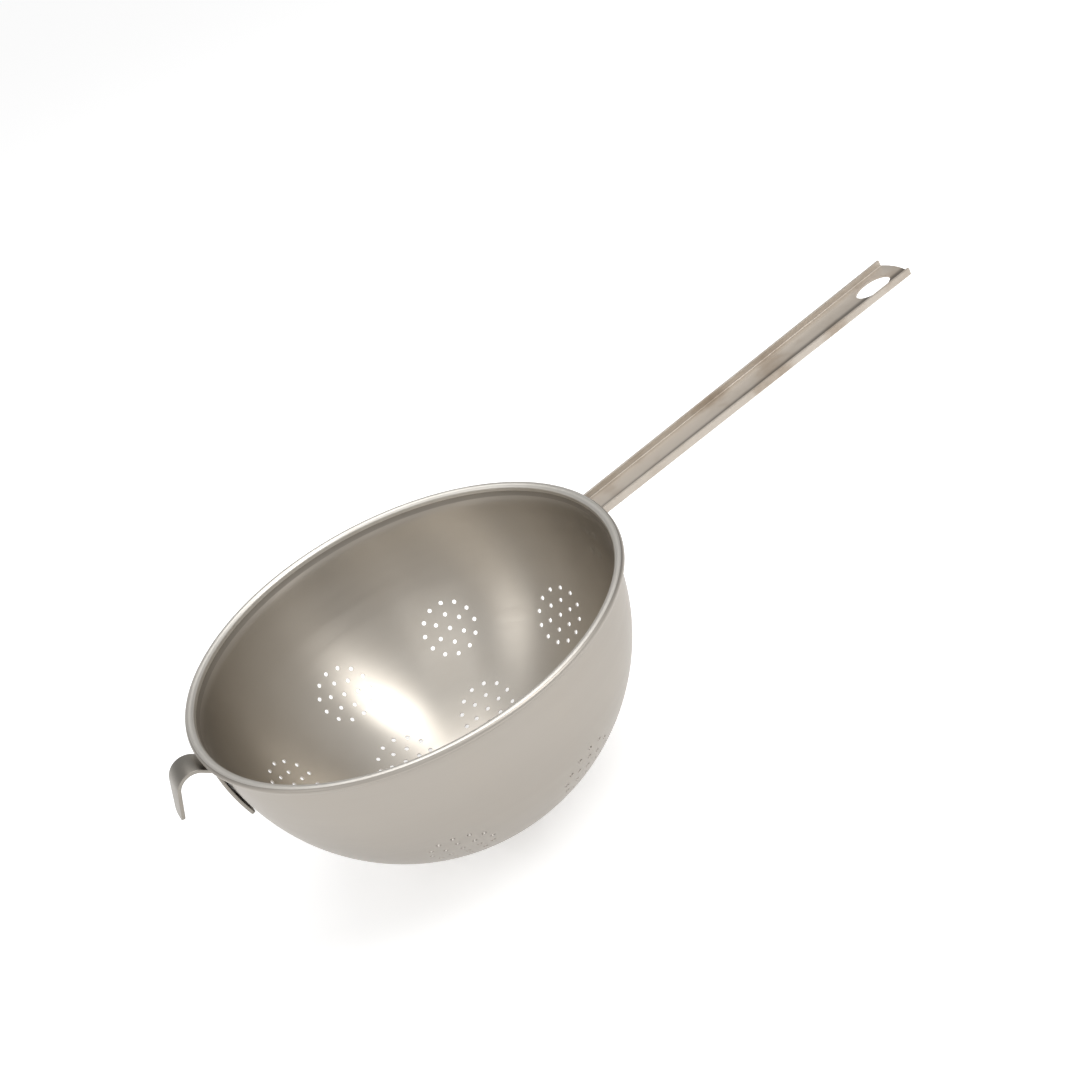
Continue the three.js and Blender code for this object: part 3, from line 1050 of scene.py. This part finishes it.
    def cut_hang_hole(self, piece: Piece) -> None:
        """Cuts the oval hole that the handle hangs by."""
        sizes = self.sizes
        half_width = sizes.handle_end_width / 2 - sizes.handle_fold - sizes.hang_hole_side_margin
        middle = sizes.handle_length - sizes.hang_hole_end_margin - sizes.hang_hole_length / 2
        Bench.clear()
        bpy.ops.mesh.primitive_cylinder_add(
            vertices=self.hole_sides, radius=1.0, depth=4 * sizes.handle_sheet, location=(middle, 0.0, 0.0),
            scale=(sizes.hang_hole_length / 2, half_width, 1.0),
        )
        cutter = bpy.context.object
        bpy.context.view_layer.update()
        Bench.finish_modifier(piece, "BOOLEAN", operation="DIFFERENCE", object=cutter, solver="EXACT")
        bpy.data.objects.remove(cutter)


def offset_line(line: Profile, step: float) -> Profile:
    """Moves a line sideways.

    Args:
        line: Points of the line.
        step: How far to the left of its direction it moves.

    Returns:
        The moved points.
    """
    moved = []
    for i, point in enumerate(line):
        before = line[max(i - 1, 0)]
        after = line[min(i + 1, len(line) - 1)]
        along = Vector((after[0] - before[0], after[1] - before[1])).normalized()
        moved.append((point[0] - along.y * step, point[1] + along.x * step))
    return moved


@dataclass
class Hook(Strip):
    """The bent strip opposite the handle that rests on a pot's rim."""

    edge_round: float = 0.25 * MM
    edge_segments: int = 3

    def steel(self) -> Steel:
        """A darker steel, dull in every direction."""
        return Steel(
            "hook_steel", (0.31, 0.288, 0.256), (0.24, 0.21, 0.175), 0.42, Brushing.TUMBLED,
            axis=self.sizes.centre, weld_places=self.sizes.hook_welds(),
        )

    def build(self) -> Piece:
        """Models the hook on the handle's side and turns it to its own.

        Returns:
            The finished hook.
        """
        sizes = self.sizes
        line = sizes.hook_line()
        Bench.clear()
        bpy.ops.mesh.primitive_plane_add(size=sizes.hook_width)
        piece = Bench.take("hook_bent")
        half = sizes.hook_width / 2
        Bench.pick(piece, lambda place: place.x > 0)
        bpy.ops.mesh.delete(type="VERT")
        Bench.pick(piece, lambda place: True)
        bpy.ops.transform.translate(value=(line[0][0] + half, 0.0, line[0][1]))
        Bench.bend_along(line)
        self.narrow(piece, line)
        for end in (line[0], line[-1]):
            self.pick_ring(piece, end)
            self.round_corners(sizes.hook_corner)
        Bench.set_normals()
        Bench.clear()
        self.thicken(piece, sizes.hook_sheet, 0.0)
        self.round_edges(piece)
        piece.location = sizes.centre
        piece.rotation_euler = (0.0, 0.0, pi)
        Bench.settle(piece, self.smooth_angle)
        return piece

    @staticmethod
    def pick_ring(piece: Piece, point: tuple[float, float]) -> None:
        """Selects the two vertices of the strip at one point of its middle line."""
        spot = Vector(point)
        Bench.pick(piece, lambda co: (Vector((co.x, co.z)) - spot).length < TOUCH)

    def narrow(self, piece: Piece, line: Profile) -> None:
        """Narrows the strip from the top of the crown to the free tip."""
        sizes = self.sizes
        top = max(range(len(line)), key=lambda i: line[i][1])
        drop = line[top][1] - line[-1][1] - sizes.hook_corner
        least = sizes.hook_tip_width / sizes.hook_width
        for point in line[top + 1 :]:
            share = min(1.0, (line[top][1] - point[1]) / drop)
            self.pick_ring(piece, point)
            bpy.ops.transform.resize(
                value=(1.0, 1.0 + (least - 1.0) * share, 1.0), center_override=(point[0], 0.0, point[1])
            )


@dataclass(frozen=True)
class SoftBox:
    """An area lamp that looks at the bowl, with its level width and its upright length.

    Its place is given in degrees round the bowl's axis from the handle, degrees above the horizon and
    the distance from the sphere's centre.
    """

    name: str
    azimuth: float
    height: float
    distance: float
    width: float
    length: float
    watts: float

    def add(self, centre: Vector) -> None:
        """Adds the lamp to the scene.

        Args:
            centre: The point that it looks at.
        """
        data = bpy.data.lights.new(self.name, "AREA")
        data.shape = "RECTANGLE"
        data.size = self.width
        data.size_y = self.length
        data.energy = self.watts
        lamp = bpy.data.objects.new(self.name, data)
        way = Bowl.way(radians(-self.height), radians(self.azimuth))
        lamp.location = centre + way * self.distance
        lamp.rotation_euler = (-way).to_track_quat("-Z", "Y").to_euler()
        bpy.context.collection.objects.link(lamp)


@dataclass
class Studio:
    """The pale floor, the soft light and the camera of the photograph."""

    sizes: SieveSizes
    floor_size: float = 14.0
    floor_colour: Colour = (0.86, 0.86, 0.86)
    floor_glow: float = 0.49
    ambient: float = 0.68
    screen_low: float = 0.08
    screen_high: float = 0.72
    screen_fade: float = 0.2
    screen_sides: tuple[float, float] = (0.05, 0.7)
    screen_level: float = 0.35
    screen_way: Vector = field(default_factory=lambda: Vector((0.30, 0.954)))
    lamps: tuple[SoftBox, ...] = (
        SoftBox("key", -49, 54, 1.3, 0.38, 0.9, 6.5),
        SoftBox("side", 183, 32, 1.3, 0.5, 0.5, 1.05),
        SoftBox("front", 238, 40, 1.6, 1.0, 1.0, 2.0),
        SoftBox("top", 72, 68, 1.3, 0.9, 0.9, 4.5),
    )
    eye: Vector = field(default_factory=lambda: Vector((-96.545, -534.592, 325.280)) * MM)
    right: Vector = field(default_factory=lambda: Vector((0.80952, -0.46665, -0.35625)))
    up: Vector = field(default_factory=lambda: Vector((0.52743, 0.31154, 0.79042)))
    focal_pixels: float = 1501.83
    image_height: int = 1081
    sensor: float = 36.0

    def build(self) -> None:
        """Adds the floor, the light and the camera."""
        self.floor()
        self.world()
        for lamp in self.lamps:
            lamp.add(self.sizes.centre)
        self.camera()
        bpy.context.scene.view_settings.view_transform = "Standard"

    @staticmethod
    def seen_rays(tree: ShaderTree) -> Sock:
        """Is 1 where a surface is seen by the camera, in a reflection or through glass."""
        kinds = ("Is Camera Ray", "Is Glossy Ray", "Is Transmission Ray")
        camera, glossy, through = (tree.add("LightPath", {}, {}, kind) for kind in kinds)
        return camera.at_least(glossy).at_least(through)

    def floor(self) -> None:
        """A wide pale floor under the bowl that keeps its shadow."""
        Bench.clear()
        bpy.ops.mesh.primitive_plane_add(size=self.floor_size)
        floor = bpy.context.object
        floor.name = "floor"
        tree = ShaderTree(bpy.data.materials.new("pale_floor"))
        paint = tree.add("BsdfDiffuse", {}, {"Color": self.floor_colour + (1.0,)})
        glow = tree.add("Emission", {}, {"Strength": self.floor_glow})
        lit = tree.add("AddShader", {}, {0: paint, 1: glow})
        tree.finish(tree.add("MixShader", {}, {0: self.seen_rays(tree), 1: paint, 2: lit}))
        floor.data.materials.append(tree.owner)

    def world(self) -> None:
        """A plain room: white all round, with a dark screen behind the bowl, dim as a light."""
        world = bpy.data.worlds.new("studio_room")
        bpy.context.scene.world = world
        tree = ShaderTree(world)
        glossy = tree.add("LightPath", {}, {}, "Is Glossy Ray")
        x, y, z = tree.split(tree.add("TexCoord", {}, {}, "Generated"))
        towards = x * self.screen_way.x + y * self.screen_way.y
        behind = towards.remap(*self.screen_sides, 0.0, 1.0)
        above = z.remap(self.screen_low, self.screen_low + self.screen_fade, 0.0, 1.0)
        below = z.remap(self.screen_high, self.screen_high + self.screen_fade, 1.0, 0.0)
        shade = glossy * behind * above * below * (1 - self.screen_level)
        room = tree.add("Background", {}, {"Strength": 1 - shade})
        dim = tree.add("Background", {}, {"Strength": self.ambient})
        tree.finish(tree.add("MixShader", {}, {0: self.seen_rays(tree), 1: dim, 2: room}))

    def camera(self) -> None:
        """The camera at the photograph's viewing angle."""
        data = bpy.data.cameras.new("camera")
        data.sensor_width = self.sensor
        data.lens = self.focal_pixels * self.sensor / self.image_height
        camera = bpy.data.objects.new("camera", data)
        back = self.right.cross(self.up)
        turn = Matrix((self.right, self.up, back)).transposed().to_4x4()
        camera.matrix_world = Matrix.Translation(self.sizes.centre + self.eye) @ turn
        bpy.context.collection.objects.link(camera)
        bpy.context.scene.camera = camera


def report(piece: Piece, node: str) -> None:
    """Puts a finished piece on the part and reports it.

    Args:
        piece: The finished piece.
        node: The node that it stands for.
    """
    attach(piece, "root")
    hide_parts(node)
    LOG.info("%s stands for %s with %d faces", piece.name, node, len(piece.data.polygons))


def dress_welds(sizes: SieveSizes) -> None:
    """Gives every weld nugget its finish and leaves its shape as the part has it.

    Args:
        sizes: The sieve's sizes.
    """
    steel = Steel(
        "weld_steel", (0.44, 0.41, 0.37), (0.3, 0.26, 0.22), 0.5, Brushing.TUMBLED, axis=sizes.centre
    )
    material = steel.material()
    for name in sorted(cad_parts):
        if "_weld_" in name:
            Bench.coat(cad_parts[name], material)
            LOG.info("%s keeps its own shape", name)


def main() -> None:
    """Builds, dresses and lights the sieve."""
    logging.basicConfig(level=logging.INFO, format="%(name)s: %(message)s")
    sizes = SieveSizes()
    for maker, node in ((Bowl(sizes), "bowl"), (Handle(sizes), "handle"), (Hook(sizes), "hook")):
        piece = maker.build()
        maker.dress(piece)
        report(piece, node)
    dress_welds(sizes)
    Studio(sizes).build()


if __name__ == "__main__":
    main()
